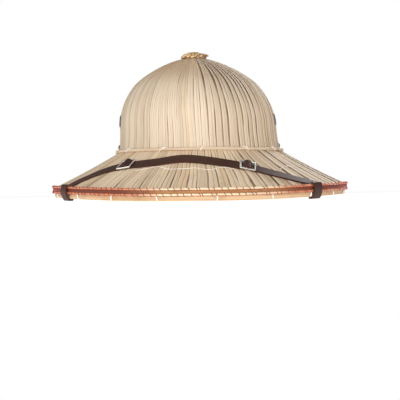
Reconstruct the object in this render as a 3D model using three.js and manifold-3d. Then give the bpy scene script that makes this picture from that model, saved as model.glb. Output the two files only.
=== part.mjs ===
// A worn safari hat sewn from palm-leaf strips: a ribbed crown and brim, a cane ring between them,
// a bamboo hoop and two thin canes round the rim, a straw button on top, side vents, and a leather
// chin strap with two slide buckles that is laid over the front of the brim.
// Millimetres, +Z up. The hat stands on its rim at z = 0 and its front faces -Y.

import * as THREE from 'three';
import { mergeVertices } from 'three/addons/utils/BufferGeometryUtils.js';
import Module from 'manifold-3d';

const wasm = await Module();
wasm.setup();

const { degToRad, lerp } = THREE.MathUtils;

// Shared clearances and the oval plan
const SEAT_GAP = 0.3;
const MERGE_DISTANCE = 1e-3;
const DIFFERENCE_STEP = 1e-3;
const CROWN_HALF_WIDTH = 85;
const LENGTH_SURPLUS = 18.5;

// Crown: outer wall from its foot to its tip
const CROWN_WALL = 2;
const CROWN_LEAN = -4.6;
const CROWN_LEAVES = 72;
const CROWN_ROWS = 10;
const CROWN_INNER_COLUMNS = 48;
const CROWN_INNER_ROWS = 8;
const CROWN_SECTIONS = [
  { height: 52.3, halfWidth: CROWN_HALF_WIDTH },
  { height: 68, halfWidth: 83.1 },
  { height: 85, halfWidth: 82.2 },
  { height: 99, halfWidth: 78.9 },
  { height: 112, halfWidth: 72.5 },
  { height: 124, halfWidth: 63.3 },
  { height: 134.5, halfWidth: 49.2 },
  { height: 143.5, halfWidth: 32.4 },
  { height: 149.5, halfWidth: 15.6 },
  { height: 152, halfWidth: 0 },
];

// Leaf strips: each one's leading edge stands proud, then it slopes down under the next
const LEAF_LIFT = 0.7;
const LEAF_SLOPE = 0.8;

// Brim: share 0 is at the crown, share 1 at the rim
const BRIM_WALL = 2;
const BRIM_INNER = 84;
const BRIM_OUTER = 155.9;
const BRIM_CROWN_HEIGHT = 51.8;
const BRIM_EDGE_HEIGHT = 9.2;
const BRIM_FLARE = 0.12;
const BRIM_LEAVES = 84;
const BRIM_TOP_ROWS = [
  { share: 1, lift: 0.4 },
  { share: 0.72, lift: 1 },
  { share: 0.3, lift: 1 },
  { share: 0, lift: 0 },
];
const BRIM_UNDER_SHARES = [0, 0.5, 1];

// Rim: it touches the ground at the front and the back and arches up at the sides
const RIM_ARCH = 5;
const REST_ANGLE = degToRad(12);
const RIM_COLUMNS = 72;
const HOOP_OUTER = 154;
const HOOP_THICKNESS = 3;
const HOOP_HEIGHT = 7.5;
const CANE_RADIUS = 1.25;
const CANE_SIDES = 6;
const UPPER_CANE = { halfWidth: 155.65, height: 11.4 };
const LOWER_CANE = { halfWidth: 155.6, height: 5.95 };

// Cane ring in the corner between crown and brim
const RING_RADIUS = 1.6;
const RING_HALF_WIDTH = CROWN_HALF_WIDTH + LEAF_LIFT + SEAT_GAP + RING_RADIUS;
const RING_HEIGHT = 52;

// Straw button on the tip
const BUTTON_COLUMNS = 36;
const BUTTON_LOBES = 9;
const BUTTON_LOBE_DEPTH = 0.7;
const BUTTON_SECTIONS = [
  { halfWidth: 0, above: 0.5 },
  { halfWidth: 12.6, above: -1.2 },
  { halfWidth: 13.8, above: 0.4 },
  { halfWidth: 13, above: 3 },
  { halfWidth: 9, above: 5 },
  { halfWidth: 0, above: 6 },
];

// Vents in the crown's sides: flange and barrel of an eyelet
const VENT_SEGMENTS = 16;
const VENT_ANGLE = degToRad(82);
const VENT_SHARE = 0.22;
const VENT_FLANGE_RADIUS = 6.5;
const VENT_FLANGE_HEIGHT = 1.2;
const VENT_BARREL_RADIUS = 4.6;
const VENT_BORE_RADIUS = 3.6;
const VENT_BARREL_LENGTH = 2.6;
const VENT_FLANGE_EDGE = 0.5;
const VENT_LIP_HEIGHT = 0.7;

// Round holes are cut right through the wall and the strap behind it
const HOLE_DEPTH = 16;

// Studs that hold the strap's ends at the crown's foot
const STUD_SEGMENTS = 14;
const STUD_ANGLE = degToRad(90);
const STUD_SHARE = 0.034;
const STUD_HEAD_RADIUS = 2.6;
const STUD_HEAD_HEIGHT = 2;
const STUD_SHOULDER = { radius: 2.2, height: 1.3 };
const STUD_SHANK_RADIUS = 1.2;
const STUD_TAIL_RADIUS = 2.4;
const STUD_TAIL_HEIGHT = 0.8;

// Chin strap: route over the brim's top from the left rim to the right rim
const STRAP_WIDTH = 12.8;
const STRAP_THICKNESS = 1.6;
const STRAP_ROUTE = [
  { angle: -59.6, share: 0.93 },
  { angle: -58.6, share: 0.76 },
  { angle: -51, share: 0.51 },
  { angle: -40, share: 0.4 },
  { angle: -24.5, share: 0.325 },
  { angle: -9, share: 0.25 },
  { angle: 8.5, share: 0.325 },
  { angle: 23.5, share: 0.46 },
  { angle: 34, share: 0.635 },
  { angle: 42, share: 0.8 },
  { angle: 46.9, share: 0.9 },
];
const ROUTE_STEPS = 36;
const LEFT_WRAP = { from: -60, to: -61.5 };
const RIGHT_WRAP = { from: 47.2, to: 48.6 };
const ANCHOR_ANGLE = 90;
const STRAP_UNDER_ROUTE = [
  { share: 0.87, turned: 0 },
  { share: 0.79, turned: 0.05 },
  { share: 0.63, turned: 0.24 },
  { share: 0.46, turned: 0.52 },
  { share: 0.3, turned: 0.8 },
  { share: 0.18, turned: 0.96 },
  { share: 0.07, turned: 1 },
];
const STRAP_FOOT_SHARE = 0.01;
const STRAP_END_SHARE = 0.085;
const WRAP_GAP = 0.5;
const WRAP_CORNER_EASE = 1.1;
const STRAP_LEAVES_HOOP = 5.6;
const INSIDE_GAP = 0.6;

// Slide buckles: frames that the strap passes under, over the middle bar, and under again
const BUCKLE_LENGTH = 16.6;
const BUCKLE_WIDTH = 17.4;
const BUCKLE_BAR = 1.8;
const BUCKLE_MIDDLE_BAR = 1.8;
const BUCKLE_THICKNESS = 1.6;
const BUCKLE_CORNER = 2.5;
const BUCKLE_CORNER_STEPS = 3;
const WINDOW_DEPTH = 6;
const LEFT_BUCKLE_ROW = 3;
const RIGHT_BUCKLE_ROW = 7;
const BUCKLE_CLEAR_REACH = 11;
const HUMP_OFFSETS = [
  { along: -9.5, raised: 0 },
  { along: -6, raised: 0 },
  { along: -1.5, raised: 1 },
  { along: 1.5, raised: 1 },
  { along: 6, raised: 0 },
  { along: 9.5, raised: 0 },
];

// Finishes
const FINISHES = {
  leaf: { color: 0xd9c39d, roughness: 0.75, metalness: 0 },
  brimLeaf: { color: 0xc9ae88, roughness: 0.75, metalness: 0 },
  paleCane: { color: 0xdcc499, roughness: 0.55, metalness: 0 },
  bamboo: { color: 0xcda369, roughness: 0.5, metalness: 0 },
  redCane: { color: 0x8d4129, roughness: 0.3, metalness: 0 },
  straw: { color: 0xba8c55, roughness: 0.7, metalness: 0 },
  leather: { color: 0x44271b, roughness: 0.55, metalness: 0 },
  brightMetal: { color: 0xc9c9c6, roughness: 0.25, metalness: 1 },
  darkMetal: { color: 0x4a4038, roughness: 0.45, metalness: 1 },
};

// A point of the oval plan. The angle runs from the front towards +X.
function ovalPoint(halfWidth, angle, height) {
  const halfLength = halfWidth + LENGTH_SURPLUS * Math.min(1, halfWidth / CROWN_HALF_WIDTH);
  return new THREE.Vector3(halfWidth * Math.sin(angle), -halfLength * Math.cos(angle), height);
}

// How far the rim stands off the ground at an angle
function rimArch(angle) {
  const rise = Math.sin(angle) ** 2 - Math.sin(REST_ANGLE) ** 2;
  return RIM_ARCH * Math.max(0, rise);
}

// A unit normal from two neighbouring differences of a surface point function
function surfaceNormal(surface, first, second) {
  const step = DIFFERENCE_STEP;
  const alongFirst = surface(first + step, second).sub(surface(first - step, second));
  const alongSecond = surface(first, second + step).sub(surface(first, second - step));
  return alongFirst.cross(alongSecond).normalize();
}

// The crown's outer wall before the strips are raised: a smooth curve from foot to tip
const crownCurve = new THREE.SplineCurve(
  CROWN_SECTIONS.map((section) => new THREE.Vector2(section.halfWidth, section.height)),
);

function crownProfilePoint(share, offset) {
  const point = crownCurve.getPointAt(share);
  const tangent = crownCurve.getTangentAt(share);
  const normal = new THREE.Vector2(tangent.y, -tangent.x);
  return point.addScaledVector(normal, offset);
}

function crownPoint(angle, share, offset = 0) {
  const point = crownProfilePoint(share, offset);
  const foot = CROWN_SECTIONS.at(0).height;
  const tip = CROWN_SECTIONS.at(-1).height;
  const spot = ovalPoint(point.x, angle, point.y);
  spot.x += (CROWN_LEAN * (point.y - foot)) / (tip - foot);
  return spot;
}

function crownNormal(angle, share) {
  return surfaceNormal(crownPoint, angle, share);
}

// The brim's top before the strips are raised
function brimTop(angle, share) {
  const fall = share + BRIM_FLARE * share * (1 - share);
  const edgeHeight = BRIM_EDGE_HEIGHT + rimArch(angle);
  const height = lerp(BRIM_CROWN_HEIGHT, edgeHeight, fall);
  return ovalPoint(lerp(BRIM_INNER, BRIM_OUTER, share), angle, height);
}

function brimNormal(angle, share) {
  return surfaceNormal(brimTop, angle, share).negate();
}

function brimPoint(angle, share, offset) {
  return brimTop(angle, share).addScaledVector(brimNormal(angle, share), offset);
}

// A closed solid from a geometry: shared vertices merged and collapsed triangles dropped
function solidFrom(geometry) {
  const bare = geometry.clone();
  bare.deleteAttribute('normal');
  bare.deleteAttribute('uv');
  const merged = mergeVertices(bare, MERGE_DISTANCE);
  const corners = merged.index.array;
  const triVerts = [];
  for (let at = 0; at < corners.length; at += 3) {
    const [a, b, c] = corners.slice(at, at + 3);
    if (a !== b && b !== c && c !== a) {
      triVerts.push(a, b, c);
    }
  }
  return new wasm.Manifold(new wasm.Mesh({
    numProp: 3,
    vertProperties: new Float32Array(merged.attributes.position.array),
    triVerts: new Uint32Array(triVerts),
  }));
}

function geometryFrom(solid) {
  const mesh = solid.getMesh();
  const geometry = new THREE.BufferGeometry();
  geometry.setAttribute('position', new THREE.BufferAttribute(mesh.vertProperties, 3));
  geometry.setIndex(new THREE.BufferAttribute(mesh.triVerts, 1));
  geometry.computeVertexNormals();
  return geometry;
}

// A turned form whose points are then set, one column after another, by a function
function shapedLathe(profile, columns, place) {
  const geometry = new THREE.LatheGeometry(profile, columns);
  const position = geometry.attributes.position;
  for (let index = 0; index < position.count; index++) {
    const column = Math.floor(index / profile.length) % columns;
    const row = index % profile.length;
    const spot = place(column, row);
    position.setXYZ(index, spot.x, spot.y, spot.z);
  }
  geometry.computeVertexNormals();
  return geometry;
}

// Two columns to a leaf strip: its raised leading edge and its low trailing edge
function leafColumn(column, leaves) {
  const isTrailing = column % 2 === 1;
  const turn = Math.floor(column / 2) + (isTrailing ? LEAF_SLOPE : 0);
  return { angle: (2 * Math.PI * turn) / leaves, lift: isTrailing ? 0 : LEAF_LIFT };
}

// A ring that follows the oval at one height, or the rim's arch
function ovalRing(section, columns, followsRim) {
  return shapedLathe(section, columns, (column, row) => {
    const angle = (2 * Math.PI * (column + 0.5)) / columns;
    const arch = followsRim ? rimArch(angle) : 0;
    return ovalPoint(section[row].x, angle, section[row].y + arch);
  });
}

function roundSection(halfWidth, height, radius, sides) {
  return new THREE.EllipseCurve(halfWidth, height, radius, radius).getPoints(sides);
}

// Crown pieces
function crownOuterGeometry() {
  const shares = [];
  for (let row = 0; row <= CROWN_ROWS; row++) {
    shares.push(row / CROWN_ROWS);
  }
  const footHeight = CROWN_SECTIONS.at(0).height;
  const profile = [new THREE.Vector2(0, footHeight)];
  shares.forEach((share) => profile.push(crownProfilePoint(share, 0)));
  return shapedLathe(profile, 2 * CROWN_LEAVES, (column, row) => {
    if (row === 0) {
      return new THREE.Vector3(0, 0, footHeight);
    }
    const leaf = leafColumn(column, CROWN_LEAVES);
    const nearTip = profile[row].x / CROWN_HALF_WIDTH;
    const spot = crownPoint(leaf.angle, shares[row - 1], leaf.lift * nearTip);
    if (row === 1) {
      spot.z = footHeight;
    }
    return spot;
  });
}

function crownHollowGeometry() {
  const below = new THREE.Vector2(0, CROWN_SECTIONS.at(0).height - CROWN_WALL);
  const tip = new THREE.Vector3(CROWN_LEAN, 0, CROWN_SECTIONS.at(-1).height - CROWN_WALL);
  const shares = [0];
  for (let row = 0; row <= CROWN_INNER_ROWS; row++) {
    shares.push(row / CROWN_INNER_ROWS);
  }
  const profile = [below];
  shares.forEach((share) => profile.push(crownProfilePoint(share, -CROWN_WALL)));
  return shapedLathe(profile, CROWN_INNER_COLUMNS, (column, row) => {
    if (row === 0) {
      return new THREE.Vector3(0, 0, below.y);
    }
    if (row === profile.length - 1) {
      return tip;
    }
    const angle = (2 * Math.PI * column) / CROWN_INNER_COLUMNS;
    const spot = crownPoint(angle, shares[row - 1], -CROWN_WALL);
    if (row === 1) {
      spot.z = below.y;
    }
    return spot;
  });
}

// A round hole through the crown wall at a site
function holeGeometry(site, radius, segments) {
  const geometry = new THREE.CylinderGeometry(radius, radius, HOLE_DEPTH, segments);
  geometry.applyQuaternion(site.turn);
  geometry.translate(site.spot.x, site.spot.y, site.spot.z);
  return geometry;
}

// Where a turned fitting sits on the crown: on the strips' raised edges, its axis square to the wall
function crownSite(angle, share) {
  const normal = crownNormal(angle, share);
  const turn = new THREE.Quaternion().setFromUnitVectors(new THREE.Vector3(0, 1, 0), normal);
  const spot = crownPoint(angle, share).addScaledVector(normal, LEAF_LIFT + SEAT_GAP);
  return { spot, turn };
}

const ventSites = {
  left: crownSite(-VENT_ANGLE, VENT_SHARE),
  right: crownSite(VENT_ANGLE, VENT_SHARE),
};
const studSites = {
  left: crownSite(-STUD_ANGLE, STUD_SHARE),
  right: crownSite(STUD_ANGLE, STUD_SHARE),
};

function crownGeometry() {
  let crown = solidFrom(crownOuterGeometry()).subtract(solidFrom(crownHollowGeometry()));
  for (const site of Object.values(ventSites)) {
    crown = crown.subtract(solidFrom(holeGeometry(site, VENT_BARREL_RADIUS + SEAT_GAP, VENT_SEGMENTS)));
  }
  for (const site of Object.values(studSites)) {
    crown = crown.subtract(solidFrom(holeGeometry(site, STUD_SHANK_RADIUS + SEAT_GAP, STUD_SEGMENTS)));
  }
  return geometryFrom(crown);
}

function brimGeometry() {
  const rows = [
    ...BRIM_UNDER_SHARES.map((share) => ({ share, lift: 0, offset: -BRIM_WALL })),
    ...BRIM_TOP_ROWS.map((row) => ({ ...row, offset: 0 })),
  ];
  rows.push(rows[0]);
  const profile = rows.map((row) => {
    const spot = brimPoint(Math.PI / 2, row.share, row.offset);
    return new THREE.Vector2(spot.x, spot.z);
  });
  return shapedLathe(profile, 2 * BRIM_LEAVES, (column, row) => {
    const leaf = leafColumn(column, BRIM_LEAVES);
    const { share, lift, offset } = rows[row];
    return brimPoint(leaf.angle, share, offset + lift * leaf.lift);
  });
}

function ringGeometry() {
  return ovalRing(roundSection(RING_HALF_WIDTH, RING_HEIGHT, RING_RADIUS, CANE_SIDES), RIM_COLUMNS, false);
}

function caneGeometry(cane) {
  return ovalRing(roundSection(cane.halfWidth, cane.height, CANE_RADIUS, CANE_SIDES), RIM_COLUMNS, true);
}

function hoopGeometry() {
  const inner = HOOP_OUTER - HOOP_THICKNESS;
  const section = [
    new THREE.Vector2(inner, 0),
    new THREE.Vector2(HOOP_OUTER, 0),
    new THREE.Vector2(HOOP_OUTER, HOOP_HEIGHT),
    new THREE.Vector2(inner, HOOP_HEIGHT),
    new THREE.Vector2(inner, 0),
  ];
  return ovalRing(section, RIM_COLUMNS, true);
}

function buttonGeometry() {
  const tip = CROWN_SECTIONS.at(-1).height;
  const profile = BUTTON_SECTIONS.map((section) => {
    return new THREE.Vector2(section.halfWidth, tip + section.above);
  });
  return shapedLathe(profile, BUTTON_COLUMNS, (column, row) => {
    const angle = (2 * Math.PI * column) / BUTTON_COLUMNS;
    const point = profile[row];
    const lobe = BUTTON_LOBE_DEPTH * Math.cos(BUTTON_LOBES * angle) * Math.min(1, point.x);
    const radius = point.x + lobe;
    return new THREE.Vector3(CROWN_LEAN + radius * Math.sin(angle), -radius * Math.cos(angle), point.y);
  });
}

// An eyelet turned about its own axis: heights are measured outwards from the crown's surface
function ventGeometry() {
  const profile = [
    new THREE.Vector2(VENT_BORE_RADIUS, -VENT_BARREL_LENGTH),
    new THREE.Vector2(VENT_BARREL_RADIUS, -VENT_BARREL_LENGTH),
    new THREE.Vector2(VENT_BARREL_RADIUS, 0),
    new THREE.Vector2(VENT_FLANGE_RADIUS, 0),
    new THREE.Vector2(VENT_FLANGE_RADIUS, VENT_FLANGE_EDGE),
    new THREE.Vector2(VENT_BARREL_RADIUS, VENT_FLANGE_HEIGHT),
    new THREE.Vector2(VENT_BORE_RADIUS, VENT_LIP_HEIGHT),
    new THREE.Vector2(VENT_BORE_RADIUS, -VENT_BARREL_LENGTH),
  ];
  return new THREE.LatheGeometry(profile, VENT_SEGMENTS);
}

// A rivet: domed head outside, shank through wall and strap, flat tail on the strap's inner face
function studGeometry() {
  const throughWall = LEAF_LIFT + SEAT_GAP + CROWN_WALL;
  const tailHeight = -(throughWall + INSIDE_GAP + STRAP_THICKNESS + SEAT_GAP);
  const profile = [
    new THREE.Vector2(0, tailHeight - STUD_TAIL_HEIGHT),
    new THREE.Vector2(STUD_TAIL_RADIUS, tailHeight - STUD_TAIL_HEIGHT),
    new THREE.Vector2(STUD_TAIL_RADIUS, tailHeight),
    new THREE.Vector2(STUD_SHANK_RADIUS, tailHeight),
    new THREE.Vector2(STUD_SHANK_RADIUS, 0),
    new THREE.Vector2(STUD_HEAD_RADIUS, 0),
    new THREE.Vector2(STUD_SHOULDER.radius, STUD_SHOULDER.height),
    new THREE.Vector2(0, STUD_HEAD_HEIGHT),
  ];
  return new THREE.LatheGeometry(profile, STUD_SEGMENTS);
}

// Strap stations: a place on the middle of its thickness and the way its free face looks
const STRAP_REST = LEAF_LIFT + SEAT_GAP + STRAP_THICKNESS / 2;
const BUCKLE_SEAT = STRAP_REST + STRAP_THICKNESS / 2 + SEAT_GAP;
const HUMP_HEIGHT = SEAT_GAP + BUCKLE_THICKNESS + SEAT_GAP + STRAP_THICKNESS;

const strapRoute = new THREE.SplineCurve(
  STRAP_ROUTE.map((row) => new THREE.Vector2(degToRad(row.angle), row.share)),
);

function routePoint(along) {
  const place = strapRoute.getPoint(along);
  return brimTop(place.x, place.y);
}

function routeStep(along) {
  return routePoint(along + DIFFERENCE_STEP).sub(routePoint(along - DIFFERENCE_STEP));
}

// Millimetres of strap for a unit of the route's parameter
function routeSpeed(along) {
  return routeStep(along).length() / (2 * DIFFERENCE_STEP);
}

function topStation(along, lift) {
  const place = strapRoute.getPoint(along);
  return { spot: brimPoint(place.x, place.y, lift), lift: brimNormal(place.x, place.y) };
}

function topStations() {
  const buckles = [LEFT_BUCKLE_ROW, RIGHT_BUCKLE_ROW].map((row) => row / (STRAP_ROUTE.length - 1));
  const marks = [];
  for (let step = 0; step <= ROUTE_STEPS; step++) {
    const along = step / ROUTE_STEPS;
    const isClear = buckles.every((at) => Math.abs(along - at) * routeSpeed(at) > BUCKLE_CLEAR_REACH);
    if (isClear) {
      marks.push({ along, raised: 0 });
    }
  }
  for (const at of buckles) {
    for (const hump of HUMP_OFFSETS) {
      marks.push({ along: at + hump.along / routeSpeed(at), raised: hump.raised });
    }
  }
  marks.sort((first, second) => first.along - second.along);
  return marks.map((mark) => topStation(mark.along, STRAP_REST + mark.raised * HUMP_HEIGHT));
}

// The way the rim runs at an angle, from the front towards the right side
function rimRun(angle, halfWidth) {
  const later = angle + DIFFERENCE_STEP;
  const earlier = angle - DIFFERENCE_STEP;
  const after = ovalPoint(halfWidth, later, rimArch(later));
  const before = ovalPoint(halfWidth, earlier, rimArch(earlier));
  return after.sub(before).normalize();
}

// Round the rim from above: each row is a centre, a distance and a direction in the rim's section
function wrapStations(wrap) {
  const half = STRAP_THICKNESS / 2 + WRAP_GAP;
  const hoopInner = HOOP_OUTER - HOOP_THICKNESS;
  const hoopMiddle = HOOP_OUTER - HOOP_THICKNESS / 2;
  const roundCane = CANE_RADIUS + half;
  const roundCorner = WRAP_CORNER_EASE * half;
  const rows = [
    { ...UPPER_CANE, distance: roundCane, direction: 112 },
    { ...UPPER_CANE, distance: roundCane, direction: 70 },
    { ...UPPER_CANE, distance: roundCane, direction: 25 },
    { ...LOWER_CANE, distance: roundCane, direction: -15 },
    { halfWidth: HOOP_OUTER, height: 0, distance: roundCorner, direction: -35 },
    { halfWidth: hoopMiddle, height: 0, distance: half, direction: -90 },
    { halfWidth: hoopInner, height: 0, distance: roundCorner, direction: -145 },
    { halfWidth: hoopInner, height: STRAP_LEAVES_HOOP, distance: half, direction: 180 },
  ];
  return rows.map((row, index) => {
    const angle = degToRad(lerp(wrap.from, wrap.to, index / (rows.length - 1)));
    const direction = degToRad(row.direction);
    const out = row.distance * Math.cos(direction);
    const up = row.distance * Math.sin(direction);
    const core = ovalPoint(row.halfWidth, angle, row.height + rimArch(angle));
    const spot = ovalPoint(row.halfWidth + out, angle, row.height + rimArch(angle) + up);
    return { spot, lift: spot.clone().sub(core).normalize(), side: rimRun(angle, row.halfWidth) };
  });
}

// Hidden stretch: along the brim's underside from the rim, then up inside the crown's foot
function hiddenStations(wrap) {
  const under = BRIM_WALL + SEAT_GAP + STRAP_THICKNESS / 2;
  const side = Math.sign(wrap.to);
  const stations = STRAP_UNDER_ROUTE.map(({ share, turned }) => {
    const angle = degToRad(lerp(wrap.to, side * ANCHOR_ANGLE, turned));
    return { spot: brimPoint(angle, share, -under), lift: brimNormal(angle, share).negate() };
  });
  const anchor = degToRad(side * ANCHOR_ANGLE);
  const inside = CROWN_WALL + INSIDE_GAP + STRAP_THICKNESS / 2;
  const corner = brimPoint(anchor, 0, -under);
  corner.x = crownPoint(anchor, STRAP_FOOT_SHARE, -inside).x;
  const footNormal = crownNormal(anchor, STRAP_FOOT_SHARE);
  stations.push({ spot: corner, lift: brimNormal(anchor, 0).add(footNormal).negate().normalize() });
  for (const share of [STRAP_FOOT_SHARE, STUD_SHARE, STRAP_END_SHARE]) {
    stations.push({ spot: crownPoint(anchor, share, -inside), lift: crownNormal(anchor, share).negate() });
  }
  return stations;
}

// A flat bar with a cut across it at every station, bent so that each cut lies on its station
function strapGeometry() {
  const left = [...wrapStations(LEFT_WRAP), ...hiddenStations(LEFT_WRAP)].reverse();
  const right = [...wrapStations(RIGHT_WRAP), ...hiddenStations(RIGHT_WRAP)];
  const stations = [...left, ...topStations(), ...right];
  const last = stations.length - 1;
  const geometry = new THREE.BoxGeometry(1, STRAP_WIDTH, STRAP_THICKNESS, last, 1, 1);
  const position = geometry.attributes.position;
  for (let index = 0; index < position.count; index++) {
    const at = Math.round((position.getX(index) + 0.5) * last);
    const before = stations[Math.max(0, at - 1)].spot;
    const after = stations[Math.min(last, at + 1)].spot;
    const { spot, lift, side } = stations[at];
    const across = lift.clone().cross(after.clone().sub(before)).normalize();
    if (side) {
      across.copy(side).multiplyScalar(Math.sign(side.dot(across)));
    }
    const corner = spot.clone();
    corner.addScaledVector(across, position.getY(index));
    corner.addScaledVector(lift, position.getZ(index));
    position.setXYZ(index, corner.x, corner.y, corner.z);
  }
  let strap = solidFrom(geometry);
  for (const site of Object.values(studSites)) {
    strap = strap.subtract(solidFrom(holeGeometry(site, STUD_SHANK_RADIUS + SEAT_GAP, STUD_SEGMENTS)));
  }
  return geometryFrom(strap);
}

// A rectangle with round corners
function roundedRectangle(width, height, corner) {
  const shape = new THREE.Shape();
  const reachX = width / 2 - corner;
  const reachY = height / 2 - corner;
  shape.absarc(reachX, reachY, corner, 0, Math.PI / 2);
  shape.absarc(-reachX, reachY, corner, Math.PI / 2, Math.PI);
  shape.absarc(-reachX, -reachY, corner, Math.PI, 1.5 * Math.PI);
  shape.absarc(reachX, -reachY, corner, 1.5 * Math.PI, 2 * Math.PI);
  return shape;
}

// A block as large as the window between the middle bar and one end bar
function buckleWindow(side) {
  const length = (BUCKLE_LENGTH - BUCKLE_MIDDLE_BAR) / 2 - BUCKLE_BAR;
  const width = BUCKLE_WIDTH - 2 * BUCKLE_BAR;
  const geometry = new THREE.BoxGeometry(length, width, WINDOW_DEPTH);
  geometry.translate((side * (BUCKLE_MIDDLE_BAR + length)) / 2, 0, 0);
  return geometry;
}

function buckleGeometry() {
  const outline = roundedRectangle(BUCKLE_LENGTH, BUCKLE_WIDTH, BUCKLE_CORNER);
  const plate = new THREE.ExtrudeGeometry(outline, {
    depth: BUCKLE_THICKNESS,
    bevelEnabled: false,
    curveSegments: BUCKLE_CORNER_STEPS,
  });
  const frame = solidFrom(plate)
    .subtract(solidFrom(buckleWindow(-1)))
    .subtract(solidFrom(buckleWindow(1)));
  return geometryFrom(frame);
}

// The assembly
const hat = new THREE.Group();

function addPiece(name, geometry, finish) {
  const piece = new THREE.Mesh(geometry, new THREE.MeshStandardMaterial(finish));
  piece.name = name;
  hat.add(piece);
  return piece;
}

function addFitting(name, geometry, finish, site) {
  const piece = addPiece(name, geometry, finish);
  piece.position.copy(site.spot);
  piece.quaternion.copy(site.turn);
}

// A buckle lies flat on the strap, its length along the strap's run
function addBuckle(name, row) {
  const along = row / (STRAP_ROUTE.length - 1);
  const station = topStation(along, BUCKLE_SEAT);
  const ahead = routeStep(along).normalize();
  const across = station.lift.clone().cross(ahead).normalize();
  const basis = new THREE.Matrix4().makeBasis(ahead, across, station.lift);
  const piece = addPiece(name, buckleGeometry(), FINISHES.brightMetal);
  piece.position.copy(station.spot);
  piece.quaternion.setFromRotationMatrix(basis);
}

addPiece('crown', crownGeometry(), FINISHES.leaf);
addPiece('brim', brimGeometry(), FINISHES.brimLeaf);
addPiece('crown_ring', ringGeometry(), FINISHES.paleCane);
addPiece('rim_hoop', hoopGeometry(), FINISHES.bamboo);
addPiece('rim_cane_upper', caneGeometry(UPPER_CANE), FINISHES.redCane);
addPiece('rim_cane_lower', caneGeometry(LOWER_CANE), FINISHES.redCane);
addPiece('top_button', buttonGeometry(), FINISHES.straw);
addPiece('chin_strap', strapGeometry(), FINISHES.leather);
addBuckle('buckle_left', LEFT_BUCKLE_ROW);
addBuckle('buckle_right', RIGHT_BUCKLE_ROW);
for (const side of ['left', 'right']) {
  addFitting(`vent_${side}`, ventGeometry(), FINISHES.darkMetal, ventSites[side]);
  addFitting(`strap_stud_${side}`, studGeometry(), FINISHES.darkMetal, studSites[side]);
}

export default hat;
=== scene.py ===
import math
import random

import bmesh
import bpy
import numpy as np
from mathutils import Matrix, Vector, noise


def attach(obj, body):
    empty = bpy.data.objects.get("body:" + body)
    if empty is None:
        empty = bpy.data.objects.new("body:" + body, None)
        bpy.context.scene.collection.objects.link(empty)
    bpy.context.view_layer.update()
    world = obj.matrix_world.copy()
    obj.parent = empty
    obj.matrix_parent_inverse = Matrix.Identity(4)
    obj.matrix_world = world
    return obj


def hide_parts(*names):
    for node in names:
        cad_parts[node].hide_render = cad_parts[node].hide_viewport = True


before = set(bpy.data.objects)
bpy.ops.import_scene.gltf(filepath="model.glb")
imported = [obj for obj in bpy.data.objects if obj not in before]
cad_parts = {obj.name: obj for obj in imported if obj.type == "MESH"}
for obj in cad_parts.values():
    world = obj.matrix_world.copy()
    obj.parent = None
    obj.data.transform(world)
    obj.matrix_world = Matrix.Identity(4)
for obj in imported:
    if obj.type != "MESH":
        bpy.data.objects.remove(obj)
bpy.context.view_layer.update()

# A worn safari hat: the solids of the frame give every place and size, and this script stands finer
# pieces in for them. Metres, +Z up, the front faces -Y. An angle runs from the front towards +X.
MM = 0.001


def in_mm(rows):
    return [tuple(value * MM for value in row) for row in rows]


# Oval plan and crown: its sections are half-widths and heights, from foot to tip
CROWN_HALF_WIDTH = 85 * MM
LENGTH_SURPLUS = 18.5 * MM
CROWN_LEAN = -4.6 * MM
CROWN_WALL = 2 * MM
CROWN_SECTIONS = in_mm([
    (85, 52.3),
    (83.1, 68),
    (82.2, 85),
    (78.9, 99),
    (72.5, 112),
    (63.3, 124),
    (49.2, 134.5),
    (32.4, 143.5),
    (15.6, 149.5),
    (0, 152),
])
PROFILE_STEPS = 240

# Brim: share 0 is at the crown, share 1 at the rim
BRIM_WALL = 2 * MM
BRIM_INNER = 84 * MM
BRIM_OUTER = 155.9 * MM
BRIM_CROWN_HEIGHT = 51.8 * MM
BRIM_EDGE_HEIGHT = 9.2 * MM
BRIM_FLARE = 0.12

# Rim
RIM_ARCH = 5 * MM
REST_ANGLE = math.radians(12)
HOOP_OUTER = 154 * MM
HOOP_THICKNESS = 3 * MM
HOOP_HEIGHT = 7.5 * MM
CANE_RADIUS = 1.25 * MM
UPPER_CANE = (155.65 * MM, 11.4 * MM)
LOWER_CANE = (155.6 * MM, 5.95 * MM)
RIM_BINDING = (155.8 * MM, 8.7 * MM)
BINDING_THICKNESS = 1.2 * MM
BINDING_HEIGHT = 3.0 * MM
BINDING_CORNER = 0.4 * MM
HOOP_CORNER = 0.7 * MM
CANE_SWELL = 0.12
RING_RADIUS = 1.6 * MM
RING_HALF_WIDTH = 87.6 * MM
RING_HEIGHT = 52 * MM
RING_STEPS = 192

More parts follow.
